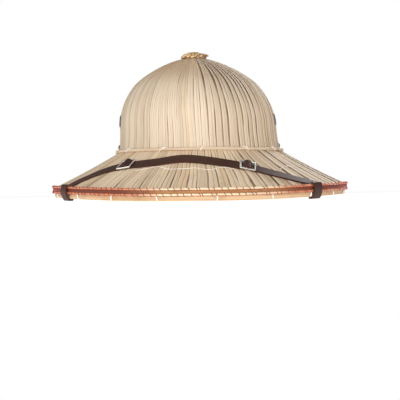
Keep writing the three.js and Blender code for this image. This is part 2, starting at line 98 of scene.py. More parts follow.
# Leaf strips: how many, how they lap, and where they lie
CROWN_STRIPS = {
    "count": 100, "columns": 6, "rows": 28, "end": 0.965, "base": 0.1 * MM,
    "lift": 0.55 * MM, "camber": 0.22 * MM, "thickness": 0.35 * MM, "lap": 0.12, "side": 1,
    "wander": 0.014, "length": 0.17, "wider": 0.0,
}
CROWN_LINING = {
    "count": 60, "columns": 3, "rows": 16, "end": 0.985, "base": 1.5 * MM,
    "lift": 0.3 * MM, "camber": 0.1 * MM, "thickness": 0.3 * MM, "lap": 0.12, "side": -1,
    "wander": 0.01, "length": 0.17, "wider": 0.0,
}
BRIM_STRIPS = {
    "count": 104, "columns": 6, "rows": 18, "end": 1.0, "base": 0.1 * MM,
    "lift": 0.8 * MM, "camber": 0.3 * MM, "thickness": 0.4 * MM, "lap": 0.1, "side": 1,
    "wander": 0.012, "length": 0.085, "wider": 0.9,
}
BRIM_LINING = {
    "count": 76, "columns": 3, "rows": 10, "end": 1.0, "base": 1.4 * MM,
    "lift": 0.35 * MM, "camber": 0.12 * MM, "thickness": 0.3 * MM, "lap": 0.1, "side": -1,
    "wander": 0.01, "length": 0.085, "wider": 0.0,
}
PLAN_STEPS = 720
STRIP_WIDTHS = (0.7, 1.3)
STRIP_EDGES = (0.6, 1.0)
STRIP_LIFTS = (0.5, 1.5)
STRIP_CAMBERS = (0.3, 1.6)
MOST_NARROWED = 0.42
SEED_SPREAD = 40
CREASED_SEED = 60
CREASED_SPARE = (0.7, 1.0)
CREASED_SECTOR = (math.radians(2), math.radians(105))
CREASED_SHARE = 0.75
CREASED_BEHIND = 0.06
LINING_RAGGEDNESS = 0.15
CROWN_RAGGEDNESS = {"least": 0.2, "right": 0.5, "foot": 0.7, "tip": 1.1}
BRIM_RAGGEDNESS = {"least": 0.18, "right": 0.3, "far_right": 0.2}
WIDE_SECTOR = [math.radians(degrees) for degrees in (25, 50, 105, 135)]
# A dark sheet between the layers of strips, painted the colour of the shade in their gaps
SHADE_SHEET_COLUMNS = 120
SHADE_SHEET_ROWS = 20
SHADE_SHEET_DEPTH = 0.9 * MM
SHADE_SHEET_THICKNESS = 0.2 * MM

# Straw button
BUTTON_RADIUS = 9.0 * MM
BUTTON_REACH = 3.4 * MM
BUTTON_HEIGHT = 154.0 * MM
BUTTON_RISE = 1.3 * MM
BUTTON_SLOPE = 0.4
STRAW_RADIUS = 1.35 * MM
STRAW_LOOSENESS = 0.35
OUTER_COIL = {"steps": 150, "turns": 4, "lobes": 11}
INNER_COIL = {"steps": 72, "turns": 3, "lobes": 7}
INNER_RADIUS = 3.2 * MM
INNER_REACH = 2.4 * MM
INNER_HEIGHT = 2.1 * MM
INNER_RISE = 0.9 * MM
TAIL_STRAWS = 4
TAIL_RADIUS_SHARE = 0.7
TAIL_SPACING = 2.0 * MM
TAIL_ASIDE = 3 * MM
TAIL_REACHES_IN_MM = (13.5, 16)
TAIL_FAN = 12
TAIL_ROOTS = in_mm([(5, 1.6), (9, 1.4)])
TAIL_DROPS = [(0.85, 0.6 * MM), (1, -0.2 * MM)]

# Vents and studs: a profile is radii and heights above the wall
VENT_ANGLE = math.radians(82)
VENT_SHARE = 0.22
VENT_PROFILE = in_mm([
    (3.6, -2.6), (4.6, -2.6), (4.6, 0), (6.5, 0), (6.5, 0.4), (5.9, 0.8), (5.0, 1.0), (4.2, 0.8),
    (3.6, 0.3),
])
STUD_ANGLE = math.radians(90)
STUD_SHARE = 0.034
STUD_PROFILE = in_mm([(2.6, 0), (2.6, 0.6), (2.2, 1.3), (1.3, 1.8), (0, 2)])
FITTING_STEPS = 28
SEAT = 0.2 * MM

# Chin strap: (angle in degrees, share) over the brim, then round the rim and back underneath
STRAP_WIDTH = 12.8 * MM
STRAP_THICKNESS = 1.6 * MM
STRAP_REST = 1.8 * MM
STRAP_ROUTE = [
    (-59.6, 0.93), (-58.6, 0.76), (-51, 0.51), (-40, 0.4), (-24.5, 0.325), (-9, 0.25),
    (8.5, 0.325), (23.5, 0.46), (34, 0.635), (42, 0.8), (46.9, 0.9),
]
ROUTE_STEPS = 60
LEFT_WRAP = (-60, -61.5)
RIGHT_WRAP = (47.2, 48.6)
ANCHOR_ANGLE = 90
STRAP_UNDER_ROUTE = [
    (0.87, 0), (0.79, 0.05), (0.63, 0.24), (0.46, 0.52), (0.3, 0.8), (0.18, 0.96), (0.07, 1),
]
STRAP_INSIDE_SHARES = (0.01, 0.034, 0.085)
WRAP_GAP = 0.5 * MM
WRAP_CORNER_EASE = 1.1
INSIDE_GAP = 0.6 * MM
SEAT_GAP = 0.3 * MM
STRAP_LEAVES_HOOP = 5.6 * MM
HUMP_HEIGHT = 3.8 * MM
HUMP_FLAT = 1.5 * MM
HUMP_REACH = 6 * MM
STATION_STEPS = 3
STRAP_COLUMNS = 4

# Slide buckles
BUCKLE_ROWS = {"left": 3, "right": 7}
BUCKLE_LINES_ALONG = [-8.3 * MM, -6.6 * MM, -0.8 * MM, 0.8 * MM, 6.6 * MM, 8.3 * MM]
BUCKLE_LINES_ACROSS = [-8.7 * MM, -7.0 * MM, 7.0 * MM, 8.7 * MM]
BUCKLE_THICKNESS = 1.6 * MM
BUCKLE_SEAT = 2.9 * MM
BUCKLE_CORNER = 2.0 * MM
BUCKLE_EDGE = 0.5 * MM

# Threads: angles and directions are in degrees, slants in radians save the ring's
LASHING_COUNT = 149
LASHING_RADIUS = 0.4 * MM
LASHING_PROUD = 0.25
LASHING_SPREAD = 0.32
LASHING_SLANTS = (0.038, 0.056)
LASHING_ON_UPPER = (195, 135, 80, 25, -35, -100)
LASHING_ON_LOWER = (100, 35, -25, -80, -150)
HOOP_STITCH_ANGLES = [-52.4, -34.1, -15.7, 6.2, 26.7, 45.3, 60.5, 74.6]
HOOP_STITCH_STEP = 19.5
HOOP_STITCH_RADIUS = 0.8 * MM
HOOP_STITCH_SLANTS = (-0.001, 0.004)
RING_STITCH_ANGLES = [-56, -24, 2, 32, 60]
RING_STITCH_STEP = 30
RING_STITCH_RADIUS = 0.6 * MM
RING_STITCH_PROUD = 0.8
RING_STITCH_SLANTS = [3.2, 4.0, 6.0]
RING_STITCH_DIRECTIONS = (150, 110, 70, 30, -10, -55)
BRIM_THREAD_RADIUS = 0.34 * MM
BRIM_THREAD_SPANS = [(-33, 17), (41, 55), (96, 140), (172, 215), (236, 268)]
BRIM_THREAD_STEP = 2.6
BRIM_THREAD_SHARE = 0.47
BRIM_THREAD_WAVE = 0.075
BRIM_THREAD_HEIGHT = 1.5 * MM
BRIM_THREAD_DIP = 1.4 * MM

# Wear and painted highlight along the front of the rim, seen from the front: full near its middle,
# none past its reach
WEAR_AND_HIGHLIGHT_CENTRE = 12 * MM
WEAR_AND_HIGHLIGHT_FULL = 40 * MM
WEAR_AND_HIGHLIGHT_REACH = 95 * MM
WEAR_AND_HIGHLIGHT_DEPTH = -100 * MM
ENDS_FROM = 136 * MM
ENDS_FULL = 150 * MM

# Where the leaves' painted shade and highlight, and their rim stain, change: two bounds each, by place
# in the hat or by length along a strip
LEFT_SIDE = (-20 * MM, -150 * MM)
RIGHT_SIDE = (20 * MM, 150 * MM)
FAR_RIGHT = (50 * MM, 110 * MM)
CROWN_TOP = (112 * MM, 150 * MM)
FAN_ALONG = (30 * MM, 100 * MM)
TIP_ALONG = (90 * MM, 140 * MM)
STAIN_ALONG = (83.2 * MM, 84.6 * MM)

# Camera: the picture's focal length in pixels of a 400-pixel frame
PICTURE_SIZE = 400
FOCAL_PIXELS = 1495
SENSOR_WIDTH = 36
CAMERA_DISTANCE = 1.6
CAMERA_HEIGHT = 8 * MM
CAMERA_PITCH = math.radians(0.285)
CAMERA_ROLL = math.radians(0.8)
CAMERA_SEES = 40

# Studio: each light's place and watts; all of them look at the middle of the hat
LIGHTS = {
    "key": ((-0.4, -2.0, 0.44), 20),
    "fill_right": ((1.5, -1.2, 0.6), 8),
    "fill_left": ((-1.7, -1.0, 0.6), 9),
    "back": ((0.5, 1.8, 1.0), 12),
}
LIGHT_TARGET = (0, 0, 0.07)
LIGHT_SIZE = 1.2
FLOOR_SIZE = 8.0
FLOOR_GLOW = 0.72
WHITE = (1, 1, 1, 1)
LIGHT_ALL_ROUND = 0.3


def srgb(red, green, blue):
    """A colour given in the picture's 0 to 255 scale, as the shader's linear values."""
    def linear(value):
        share = value / 255
        return share / 12.92 if share <= 0.04045 else ((share + 0.055) / 1.055) ** 2.4
    return (linear(red), linear(green), linear(blue), 1.0)


# Colours
CROWN_TONES = [
    (0.0, srgb(204, 186, 162)),
    (0.35, srgb(220, 200, 174)),
    (0.7, srgb(230, 211, 187)),
    (1.0, srgb(214, 190, 158)),
]
BRIM_TONES = [
    (0.0, srgb(213, 187, 155)),
    (0.35, srgb(226, 200, 167)),
    (0.7, srgb(235, 210, 178)),
    (1.0, srgb(221, 190, 151)),
]
# Dark brown of fibres and dirt, also used for the painted shadow between strips
CROWN_MARK_AND_SHADE = srgb(140, 93, 50)
BRIM_MARK_AND_SHADE = srgb(92, 60, 33)
PALE_FIBRE = srgb(240, 226, 206)
# Painted highlight on the strips' raised edges
EDGE_HIGHLIGHT = srgb(246, 230, 208)
# Painted shade of a creased strip, sunk in the shadow of its neighbours
CREASE_SHADE = srgb(80, 49, 24)
# Painted shade: greyer on the left side, warmer and darker on the right side, darker towards the top
# of the crown
LEFT_SHADE = srgb(214, 214, 206)
RIGHT_SHADE = srgb(238, 208, 168)
TOP_SHADE = srgb(242, 226, 202)
RIM_STAIN = srgb(150, 76, 46)


def lerp(first, last, share):
    return first + (last - first) * share


def clamp(value):
    return min(1.0, max(0.0, value))


def smooth_step(low, high, value):
    share = clamp((value - low) / (high - low))
    return share * share * (3 - 2 * share)


# The hat's surfaces
def spline_at(rows, share):
    """A point of the smooth curve through all rows; share runs from 0 to 1, row by row."""
    spot = share * (len(rows) - 1)
    at = min(int(spot), len(rows) - 2)
    part = spot - at
    before, here = np.array(rows[max(at - 1, 0)]), np.array(rows[at])
    after, later = np.array(rows[at + 1]), np.array(rows[min(at + 2, len(rows) - 1)])
    start, end = (after - before) / 2, (later - here) / 2
    cubic = 2 * here - 2 * after + start + end
    square = -3 * here + 3 * after - 2 * start - end
    return ((cubic * part + square) * part + start) * part + here


def oval_point(half_width, angle, height):
    half_length = half_width + LENGTH_SURPLUS * min(1.0, half_width / CROWN_HALF_WIDTH)
    return Vector((half_width * math.sin(angle), -half_length * math.cos(angle), height))


def polar(distance, direction):
    """How far out and up a place lies, for a direction in degrees from straight out."""
    turn = math.radians(direction)
    return distance * math.cos(turn), distance * math.sin(turn)


def rim_arch(angle):
    return RIM_ARCH * max(0.0, math.sin(angle) ** 2 - math.sin(REST_ANGLE) ** 2)


def crown_profile_table():
    steps = range(PROFILE_STEPS + 1)
    points = np.array([spline_at(CROWN_SECTIONS, step / PROFILE_STEPS) for step in steps])
    lengths = np.concatenate([[0], np.cumsum(np.hypot(*np.diff(points, axis=0).T))])
    return lengths / lengths[-1], points[:, 0], points[:, 1]


PROFILE_SHARES, PROFILE_WIDTHS, PROFILE_HEIGHTS = crown_profile_table()


def crown_profile(share, offset):
    step = 0.5 / PROFILE_STEPS
    shares = (share - step, share, share + step)
    width = np.interp(shares, PROFILE_SHARES, PROFILE_WIDTHS)
    height = np.interp(shares, PROFILE_SHARES, PROFILE_HEIGHTS)
    run, rise = width[2] - width[0], height[2] - height[0]
    length = math.hypot(run, rise)
    return width[1] + offset * rise / length, height[1] - offset * run / length


def crown_point(angle, share, offset=0.0):
    half_width, height = crown_profile(share, offset)
    spot = oval_point(half_width, angle, height)
    foot, tip = CROWN_SECTIONS[0][1], CROWN_SECTIONS[-1][1]
    spot.x += CROWN_LEAN * (height - foot) / (tip - foot)
    return spot


def surface_normal(surface, angle, share):
    step = 1e-3
    across = surface(angle + step, share) - surface(angle - step, share)
    along = surface(angle, share + step) - surface(angle, share - step)
    return across.cross(along).normalized()


def crown_normal(angle, share):
    return surface_normal(crown_point, angle, share)


def brim_top(angle, share):
    fall = share + BRIM_FLARE * share * (1 - share)
    height = lerp(BRIM_CROWN_HEIGHT, BRIM_EDGE_HEIGHT + rim_arch(angle), fall)
    return oval_point(lerp(BRIM_INNER, BRIM_OUTER, share), angle, height)


def brim_normal(angle, share):
    return -surface_normal(brim_top, angle, share)


def brim_point(angle, share, offset):
    return brim_top(angle, share) + brim_normal(angle, share) * offset


# Pieces
def add_piece(name, mesh, materials, slot, *nodes):
    """A new piece of the hat; any nodes given are the ones of the frame that it stands in for."""
    piece = bpy.data.objects.new(name, mesh)
    bpy.context.scene.collection.objects.link(piece)
    for material in materials:
        mesh.materials.append(material)
    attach(piece, "root")
    if nodes:
        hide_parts(*nodes)
    return piece


def mesh_from(name, bm, sharp_degrees=45):
    mesh = bpy.data.meshes.new(name)
    bm.to_mesh(mesh)
    bm.free()
    mesh.shade_smooth()
    mesh.set_sharp_from_angle(angle=math.radians(sharp_degrees))
    return mesh


def soften(bm, geom, offset, segments, affect):
    bmesh.ops.bevel(
        bm, geom=geom, offset=offset, offset_type="OFFSET", segments=segments, profile=0.5,
        affect=affect, material=-1,
    )


def spin_round(bm, geom, steps):
    bmesh.ops.spin(
        bm, geom=geom, cent=Vector(), axis=Vector((0, 0, 1)), dvec=Vector(), angle=2 * math.pi,
        steps=steps, use_merge=True,
    )


def faces_at(verts):
    return list({face for vert in verts for face in vert.link_faces})


def grain_layers(bm):
    """Two vectors on every point: where it lies in its strip, and how that strip looks."""
    vectors = bm.verts.layers.float_vector
    return vectors.new("grain_place"), vectors.new("grain_look")


def on_the_right(angle):
    """How far an angle lies in the sector where the brim's strips are wider, from 0 to 1."""
    first, full, falling, last = WIDE_SECTOR
    return smooth_step(first, full, angle) * (1 - smooth_step(falling, last, angle))


def strip_angles(style, chance):
    """Where one strip ends and the next begins: uneven widths, with the seam at the back."""
    count = style["count"]
    angles = np.linspace(-math.pi, math.pi, PLAN_STEPS + 1)
    spots = np.array([oval_point(CROWN_HALF_WIDTH, angle, 0) for angle in angles])
    lengths = np.concatenate([[0], np.cumsum(np.linalg.norm(np.diff(spots, axis=0), axis=1))])
    widths = np.array([chance.uniform(*STRIP_WIDTHS) for _ in range(count)])
    middles = (np.arange(count) + 0.5) / count * 2 * math.pi - math.pi
    widths *= [1 + style["wider"] * on_the_right(angle) for angle in middles]
    ends = np.concatenate([[0], np.cumsum(widths)]) / widths.sum() * lengths[-1]
    return np.interp(ends, lengths, angles)


def raggedness(surface, angle, share):
    """How far strips stand apart: least on the left, most on the right and near the tip."""
    side = math.sin(angle)
    if surface is crown_point:
        rag = CROWN_RAGGEDNESS
        round_the_crown = rag["least"] + rag["right"] * smooth_step(-0.35, 0.6, side)
        return round_the_crown * (rag["foot"] + rag["tip"] * share ** 3)
    rag = BRIM_RAGGEDNESS
    far_right = rag["far_right"] * smooth_step(0.6, 0.95, side)
    return rag["least"] + rag["right"] * smooth_step(-0.1, 0.6, side) + far_right


def is_creased(surface, angle, chance):
    """Whether a strip has shrunk away from its neighbour: mostly on the crown's front right."""
    first, last = CREASED_SECTOR
    in_sector = surface is crown_point and first < angle < last
    behind = abs(angle) > last
    return chance.random() < (CREASED_SHARE if in_sector else CREASED_BEHIND * behind)


def add_strip(bm, layers, style, surface, first, last, creased, chance):
    """One leaf strip: tucked under its neighbour on one side, its other edge standing proud."""
    place, look = layers
    seed = chance.uniform(0, SEED_SPREAD) + (CREASED_SEED if creased else 0)
    tone = chance.random()
    edge = chance.uniform(*STRIP_EDGES)
    lift = style["lift"] * chance.uniform(*STRIP_LIFTS)
    camber = style["camber"] * chance.uniform(*STRIP_CAMBERS)
    spare = chance.uniform(*CREASED_SPARE) if creased else chance.random() ** 2
    width = (last - first) * CROWN_HALF_WIDTH
    grid = bmesh.ops.create_grid(bm, x_segments=style["columns"], y_segments=style["rows"], size=0.5)
    for vert in grid["verts"]:
        across = vert.co.x + 0.5
        proud = 1 - across
        along = vert.co.y + 0.5
        share = style["end"] * along
        drift = noise.noise(Vector((first * 1.7, along * 2.2, style["count"]))) * style["wander"]
        own = noise.noise(Vector((seed, along * 3.0, 7.0))) * 0.1 * (last - first)
        rag = raggedness(surface, first, share) if style["side"] > 0 else LINING_RAGGEDNESS
        narrower = min(MOST_NARROWED, 0.5 * spare * rag)
        reach = (last - first) * (1 + 2 * style["lap"] - narrower)
        angle = first + drift + own + (across - style["lap"]) * reach
        rise = lift * (0.5 + 0.7 * rag) * proud ** 1.6
        if surface is crown_point:
            rise *= clamp(0.12 + 1.2 * crown_profile(share, 0)[0] / CROWN_HALF_WIDTH)
        offset = style["base"] + rise + camber * 4 * across * (1 - across)
        vert.co = surface(angle, share, style["side"] * offset)
        vert[place] = Vector((across * width, along * style["length"], seed))
        vert[look] = Vector((tone, edge * min(1.0, 0.75 + 0.3 * rag), proud))
    return faces_at(grid["verts"])


def add_strips(bm, layers, style, surface, seed):
    chance = random.Random(seed)
    angles = strip_angles(style, chance)
    faces = []
    for first, last in zip(angles, angles[1:]):
        creased = is_creased(surface, first, chance)
        faces += add_strip(bm, layers, style, surface, first, last, creased, chance)
    if (surface is crown_point) != (style["side"] > 0):
        bmesh.ops.reverse_faces(bm, faces=faces)
    bmesh.ops.solidify(bm, geom=faces, thickness=style["thickness"])


def add_shade_sheet(bm, surface, end):
    """A thin dark sheet behind the strips, painted the colour of the shade inside the leaf layers, so
    that a gap between two of them reads as a gap.
    """
    grid = bmesh.ops.create_grid(bm, x_segments=SHADE_SHEET_COLUMNS, y_segments=SHADE_SHEET_ROWS, size=0.5)
    for vert in grid["verts"]:
        angle = vert.co.x * 2 * math.pi
        vert.co = surface(angle, (vert.co.y + 0.5) * end, -SHADE_SHEET_DEPTH)
    faces = faces_at(grid["verts"])
    bmesh.ops.remove_doubles(bm, verts=grid["verts"], dist=1e-6)
    faces = [face for face in faces if face.is_valid]
    bmesh.ops.recalc_face_normals(bm, faces=faces)
    for face in faces:
        face.material_index = 1
    bmesh.ops.solidify(bm, geom=faces, thickness=SHADE_SHEET_THICKNESS)


def leaf_mesh(name, surface, strips, lining, seed):
    bm = bmesh.new()
    layers = grain_layers(bm)
    add_strips(bm, layers, strips, surface, seed)
    add_strips(bm, layers, lining, surface, seed + 1)
    add_shade_sheet(bm, surface, strips["end"])
    return mesh_from(name, bm)


# Rings that follow the oval
def ring_mesh(name, half_width, height, outline, follows_rim, wobble, swell, seed):
    """A closed outline spun round Z, then laid on the oval; outline is a function that draws it."""
    bm = bmesh.new()
    place, look = grain_layers(bm)
    outline(bm)
    bmesh.ops.rotate(bm, verts=bm.verts, matrix=Matrix.Rotation(math.pi / 2, 3, "X"))
    bmesh.ops.translate(bm, verts=bm.verts, vec=Vector((half_width, 0, height)))
    spin_round(bm, bm.verts[:] + bm.edges[:], RING_STEPS)
    bmesh.ops.remove_doubles(bm, verts=bm.verts, dist=1e-7)
    for vert in bm.verts:
        radius = math.hypot(vert.co.x, vert.co.y)
        angle = math.atan2(vert.co.x, -vert.co.y)
        turn = Vector((math.sin(angle), math.cos(angle), seed)) * 3.0
        shift = wobble * noise.noise(turn)
        thicker = 1 + swell * noise.noise(turn * 2.5)
        out = (radius - half_width) * thicker
        up = (vert.co.z - height) * thicker
        arch = rim_arch(angle) if follows_rim else 0.0
        vert.co = oval_point(half_width + out, angle, height + up + shift + arch)
        vert[place] = Vector((up + out, angle * half_width, seed))
        vert[look] = Vector((0.5, angle, up))
    bmesh.ops.recalc_face_normals(bm, faces=bm.faces)
    return mesh_from(name, bm)


def round_outline(radius):
    def outline(bm):
        bmesh.ops.create_circle(bm, segments=12, radius=radius)
    return outline


def band_outline(thickness, height, corner):
    def outline(bm):
        bmesh.ops.create_grid(bm, x_segments=1, y_segments=1, size=0.5)
        bmesh.ops.scale(bm, verts=bm.verts, vec=Vector((thickness, height, 1)))
        soften(bm, bm.verts[:], corner, 3, "VERTICES")
        bmesh.ops.delete(bm, geom=bm.faces[:], context="FACES_ONLY")
    return outline


# Turned fittings on the crown
def fitting_mesh(name, profile, angle, share, closed):
    bm = bmesh.new()
    normal = crown_normal(angle, share)
    spot = crown_point(angle, share) + normal * SEAT
    verts = []
    for radius, height in profile:
        verts += bmesh.ops.create_vert(bm, co=Vector((radius, 0, height)))["vert"]
    pairs = list(zip(verts, verts[1:])) + ([(verts[-1], verts[0])] if closed else [])
    edges = [bmesh.ops.contextual_create(bm, geom=pair)["edges"][0] for pair in pairs]
    spin_round(bm, verts + edges, FITTING_STEPS)
    bmesh.ops.remove_doubles(bm, verts=bm.verts, dist=1e-6)
    bmesh.ops.recalc_face_normals(bm, faces=bm.faces)
    turn = normal.to_track_quat("Z", "Y").to_matrix()
    bmesh.ops.rotate(bm, verts=bm.verts, matrix=turn)
    bmesh.ops.translate(bm, verts=bm.verts, vec=spot)
    return mesh_from(name, bm)


# Strap stations: a place on the middle of its thickness, the way its free face looks, and its side
def route_place(along):
    angle, share = spline_at(STRAP_ROUTE, along)
    return math.radians(angle), share


def route_step(along):
    return brim_top(*route_place(along + 1e-3)) - brim_top(*route_place(along - 1e-3))


def buckle_spots():
    return [row / (len(STRAP_ROUTE) - 1) for row in BUCKLE_ROWS.values()]


def hump(along):
    """How far the strap is raised over the middle bar of a buckle."""
    height = 0.0
    for at in buckle_spots():
        away = abs(along - at) * route_step(at).length / 2e-3
        height += HUMP_HEIGHT * (1 - smooth_step(HUMP_FLAT, HUMP_REACH, away))
    return height


def top_stations():
    stations = []
    for step in range(ROUTE_STEPS * 2 + 1):
        along = step / (ROUTE_STEPS * 2)
        angle, share = route_place(along)
        spot = brim_point(angle, share, STRAP_REST + hump(along))
        stations.append((spot, brim_normal(angle, share), None))
    return stations


def rim_run(angle, half_width):
    step = 1e-3
    after = oval_point(half_width, angle + step, rim_arch(angle + step))
    return (after - oval_point(half_width, angle - step, rim_arch(angle - step))).normalized()


def wrap_stations(wrap):
    """Round the rim; a row is a half-width, a height, a distance and a direction from there."""
    half = STRAP_THICKNESS / 2 + WRAP_GAP
    inner = HOOP_OUTER - HOOP_THICKNESS
    round_cane = CANE_RADIUS + half
    round_corner = WRAP_CORNER_EASE * half
    rows = [
        (*UPPER_CANE, round_cane, 112),
        (*UPPER_CANE, round_cane, 70),
        (*UPPER_CANE, round_cane, 25),
        (*LOWER_CANE, round_cane, -15),
        (HOOP_OUTER, 0, round_corner, -35),
        (HOOP_OUTER - HOOP_THICKNESS / 2, 0, half, -90),
        (inner, 0, round_corner, -145),
        (inner, STRAP_LEAVES_HOOP, half, 180),
    ]
    stations = []
    for index, (half_width, height, distance, direction) in enumerate(rows):
        angle = math.radians(lerp(*wrap, index / (len(rows) - 1)))
        out, up = polar(distance, direction)
        core = oval_point(half_width, angle, height + rim_arch(angle))
        spot = oval_point(half_width + out, angle, height + rim_arch(angle) + up)
        stations.append((spot, (spot - core).normalized(), rim_run(angle, half_width)))
    return stations


def hidden_stations(wrap):
    under = BRIM_WALL + SEAT_GAP + STRAP_THICKNESS / 2
    side = math.copysign(1, wrap[1])
    stations = []
    for share, turned in STRAP_UNDER_ROUTE:
        angle = math.radians(lerp(wrap[1], side * ANCHOR_ANGLE, turned))
        stations.append((brim_point(angle, share, -under), -brim_normal(angle, share), None))
    anchor = math.radians(side * ANCHOR_ANGLE)
    inside = CROWN_WALL + INSIDE_GAP + STRAP_THICKNESS / 2
    foot_share = STRAP_INSIDE_SHARES[0]
    corner = brim_point(anchor, 0, -under)
    corner.x = crown_point(anchor, foot_share, -inside).x
    lift = -(brim_normal(anchor, 0) + crown_normal(anchor, foot_share)).normalized()
    stations.append((corner, lift, None))
    for share in STRAP_INSIDE_SHARES:
        stations.append((crown_point(anchor, share, -inside), -crown_normal(anchor, share), None))
    return stations


def finer(stations):
    """More stations on the same smooth run, each with its own side direction."""
    spots = [tuple(spot) for spot, _, _ in stations]
    lifts = [tuple(lift) for _, lift, _ in stations]
    sides = []
    for at, (_, lift, side) in enumerate(stations):
        ahead = stations[min(at + 1, len(stations) - 1)][0] - stations[max(at - 1, 0)][0]
        across = lift.cross(ahead).normalized()
        if side is not None:
            across = side * math.copysign(1, side.dot(across))
        sides.append(tuple(across))
    steps = (len(stations) - 1) * STATION_STEPS
    rows = []
    for step in range(steps + 1):
        share = step / steps
        rows.append([Vector(spline_at(track, share)) for track in (spots, lifts, sides)])
    return rows


def strap_rows():
    left = (wrap_stations(LEFT_WRAP) + hidden_stations(LEFT_WRAP))[::-1]
    right = wrap_stations(RIGHT_WRAP) + hidden_stations(RIGHT_WRAP)
    return finer(left) + finer(top_stations()) + finer(right)


def strap_mesh(name):
    rows = strap_rows()
    lengths = [0.0]
    for before, after in zip(rows, rows[1:]):
        lengths.append(lengths[-1] + (after[0] - before[0]).length)
    bm = bmesh.new()
    place, look = grain_layers(bm)
    bmesh.ops.create_grid(bm, x_segments=len(rows) - 1, y_segments=STRAP_COLUMNS, size=0.5)
    for vert in bm.verts:
        at = round((vert.co.x + 0.5) * (len(rows) - 1))
        across = vert.co.y
        spot, lift, side = rows[at]
        top = lift.normalized() * STRAP_THICKNESS / 2
        vert.co = spot + side.normalized() * across * STRAP_WIDTH + top
        vert[place] = Vector((across * STRAP_WIDTH, lengths[at], 3.0))
        vert[look] = Vector((0.5, lengths[at] / lengths[-1], across + 0.5))
    bmesh.ops.recalc_face_normals(bm, faces=bm.faces)
    bmesh.ops.solidify(bm, geom=bm.faces[:], thickness=STRAP_THICKNESS)
    return mesh_from(name, bm, 60)


def buckle_mesh(name, row):
    along = row / (len(STRAP_ROUTE) - 1)
    angle, share = route_place(along)
    lift = brim_normal(angle, share)
    ahead = route_step(along).normalized()
    across = lift.cross(ahead).normalized()
    bm = bmesh.new()
    columns, lines = len(BUCKLE_LINES_ALONG) - 1, len(BUCKLE_LINES_ACROSS) - 1
    bmesh.ops.create_grid(bm, x_segments=columns, y_segments=lines, size=0.5)
    for vert in bm.verts:
        vert.co.x = BUCKLE_LINES_ALONG[round((vert.co.x + 0.5) * columns)]
        vert.co.y = BUCKLE_LINES_ACROSS[round((vert.co.y + 0.5) * lines)]
    middle_bar, end_bar = BUCKLE_LINES_ALONG[3:5]
    side_bar = BUCKLE_LINES_ACROSS[2]
    windows = []
    for face in bm.faces:
        middle = face.calc_center_median()
        if abs(middle.y) < side_bar and middle_bar < abs(middle.x) < end_bar:
            windows.append(face)
    bmesh.ops.delete(bm, geom=windows, context="FACES")
    corners = [vert for vert in bm.verts if len(vert.link_edges) == 2]
    soften(bm, corners, BUCKLE_CORNER, 4, "VERTICES")
    bmesh.ops.solidify(bm, geom=bm.faces[:], thickness=-BUCKLE_THICKNESS)
    bmesh.ops.recalc_face_normals(bm, faces=bm.faces)
    sharp = [edge for edge in bm.edges if edge.calc_face_angle(0) > 1]
    soften(bm, sharp, BUCKLE_EDGE, 2, "EDGES")
    low = min(vert.co.z for vert in bm.verts)
    seat = brim_point(angle, share, BUCKLE_SEAT)
    basis = Matrix((ahead, across, lift)).transposed()
    for vert in bm.verts:
        vert.co = seat + basis @ (vert.co - Vector((0, 0, low)))
    return mesh_from(name, bm, 50)


# Threads and straws, drawn as curves
def add_cords(name, runs, radius, material, slot, closed=False, *nodes):
    curve = bpy.data.curves.new(name, "CURVE")
    curve.dimensions = "3D"
    curve.bevel_depth = radius
    curve.bevel_resolution = 2
    curve.resolution_u = 3
    curve.use_fill_caps = True
    for run in runs:
        spline = curve.splines.new("NURBS")
        spline.points.add(len(run) - 1)
        for point, spot in zip(spline.points, run):
            point.co = (*spot, 1.0)
        spline.order_u = 3
        spline.use_endpoint_u = not closed
        spline.use_cyclic_u = closed
    return add_piece(name, curve, [material], slot, *nodes)


def rim_spot(angle, half_width, height, distance=0.0, direction=0.0):
    out, up = polar(distance, direction)
    return oval_point(half_width + out, angle, height + up + rim_arch(angle))


def lashing_runs():
    chance = random.Random(31)
    round_cane = CANE_RADIUS + LASHING_RADIUS * LASHING_PROUD
    runs = []
    for index in range(LASHING_COUNT):
        shift = chance.uniform(-LASHING_SPREAD, LASHING_SPREAD)
        angle = 2 * math.pi * (index + shift) / LASHING_COUNT
        slant = chance.uniform(*LASHING_SLANTS)
        rows = [(*UPPER_CANE, round_cane, direction) for direction in LASHING_ON_UPPER]
        rows += [(*LOWER_CANE, round_cane, direction) for direction in LASHING_ON_LOWER]
        runs.append([rim_spot(angle + slant * at / len(rows), *row) for at, row in enumerate(rows)])
    return runs


def repeated_angles(top_wear_and_highlight, step, chance):
    """The angles seen from the front, carried on round the back at about the same spacing."""
    angles = list(top_wear_and_highlight)
    while angles[-1] + 1.4 * step < top_wear_and_highlight[0] + 360:
        angles.append(angles[-1] + step * chance.uniform(0.92, 1.08))
    return [math.radians(angle) for angle in angles]


def hoop_stitch_runs():
    """Stitches round the hoop; a row is a half-width and a height, from outside to inside."""
    chance = random.Random(12)
    inner = HOOP_OUTER - HOOP_THICKNESS
    gap = HOOP_STITCH_RADIUS
    runs = []
    for angle in repeated_angles(HOOP_STITCH_ANGLES, HOOP_STITCH_STEP, chance):
        slant = chance.uniform(*HOOP_STITCH_SLANTS)
        rows = [
            (HOOP_OUTER + 0.4 * MM, HOOP_HEIGHT - 2.4 * MM),
            (HOOP_OUTER + gap, HOOP_HEIGHT - 3.2 * MM),
            (HOOP_OUTER + gap, HOOP_HEIGHT / 3),
            (HOOP_OUTER + gap, 1.2 * MM),
            (HOOP_OUTER - 0.6 * MM, gap),
            (inner + 0.6 * MM, gap),
            (inner - gap, 1.4 * MM),
            (inner - gap, HOOP_HEIGHT * 0.7),
        ]
        runs.append([rim_spot(angle + slant * at, *row) for at, row in enumerate(rows)])
    return runs


